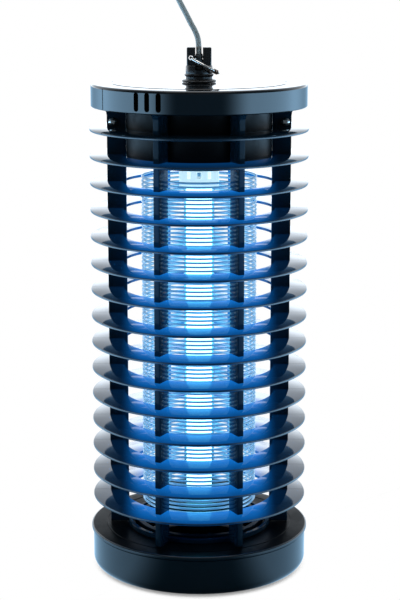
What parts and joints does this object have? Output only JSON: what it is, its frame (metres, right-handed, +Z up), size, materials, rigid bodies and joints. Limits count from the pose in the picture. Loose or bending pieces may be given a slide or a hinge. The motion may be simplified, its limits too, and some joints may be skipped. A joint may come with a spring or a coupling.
{
  "type": "electric bug zapper",
  "caption": "Round electric insect killer: louvred cage around a wire grid and a tube lamp, ballast in the cap, pull-off tray below, slotted hanger with a ring and mains lead above.",
  "frame": {"origin": "middle of the tray's underside, on the surface the feet stand on", "axes": "+Z up, -Y towards the front with the narrow rib bay, +X to the right seen from the front"},
  "size_m": [0.2536, 0.1361, 0.3887],
  "materials": {
    "black_gloss": "glossy moulded black styrene",
    "rubber_feet": "dull black rubber",
    "dark_matte": "dull dark grey plastic",
    "bright_metal": "bright plated steel",
    "grid_wire": "drawn stainless wire",
    "pale_plastic": "off-white insulating plastic",
    "lamp_glass": "phosphor-coated glass tube, lit",
    "board": "green solder mask",
    "grey_lead": "semi-matt grey cable jacket",
    "tie": "black twist tie"
  },
  "bodies": {
    "zapper": {"ballast_choke": "dark_matte", "ballast_housing": "black_gloss", "base_deck": "black_gloss", "cage_rib_1": "black_gloss", "cage_rib_2": "black_gloss", "cage_rib_4": "black_gloss", "cage_rib_5": "black_gloss", "cage_screw_left_lower": "bright_metal", "cage_screw_left_upper": "bright_metal", "cage_screw_right_lower": "bright_metal", "cage_screw_right_upper": "bright_metal", "cap_screw_1": "bright_metal", "cap_screw_2": "bright_metal", "cap_screw_3": "bright_metal", "circuit_board": "board", "coil_tie": "tie", "cord_coil": "grey_lead", "fin_01": "black_gloss", "fin_02": "black_gloss", "fin_03": "black_gloss", "fin_04": "black_gloss", "fin_05": "black_gloss", "fin_06": "black_gloss", "fin_07": "black_gloss", "fin_08": "black_gloss", "fin_09": "black_gloss", "fin_10": "black_gloss", "fin_11": "black_gloss", "fin_12": "black_gloss", "fin_13": "black_gloss", "fin_14": "black_gloss", "fin_15": "black_gloss", "grid_electrode_a": "grid_wire", "grid_electrode_b": "grid_wire", "grid_plate_lower": "dark_matte", "grid_plate_upper": "dark_matte", "grid_post_1": "dark_matte", "grid_post_2": "dark_matte", "grid_post_3": "dark_matte", "hanger_boss": "black_gloss", "hanger_nut": "dark_matte", "lamp_end_lower": "bright_metal", "lamp_end_upper": "bright_metal", "lamp_holder_lower": "black_gloss", "lamp_holder_upper": "pale_plastic", "lamp_tube": "lamp_glass", "mains_cord": "grey_lead", "plug_body": "dark_matte", "plug_pin_1": "bright_metal", "plug_pin_2": "bright_metal", "side_post_left": "black_gloss", "side_post_right": "black_gloss", "smoothing_capacitor": "dark_matte", "strain_relief": "dark_matte", "top_cap": "black_gloss"},
    "tray": {"collecting_tray": "black_gloss", "foot_1": "rubber_feet", "foot_2": "rubber_feet", "foot_3": "rubber_feet"},
    "ring": {"hanging_ring": "bright_metal"}
  },
  "joints": [
    {"name": "tray_pull", "type": "slide", "parent": "zapper", "child": "tray", "axis": [0, 0, -1], "range_m": [0, 0.05]},
    {"name": "ring_swing", "type": "hinge", "parent": "zapper", "child": "ring", "pos_m": [-0.0049, 0, 0.316], "axis": [0, 1, 0], "range_deg": [-104, 0]}
  ]
}
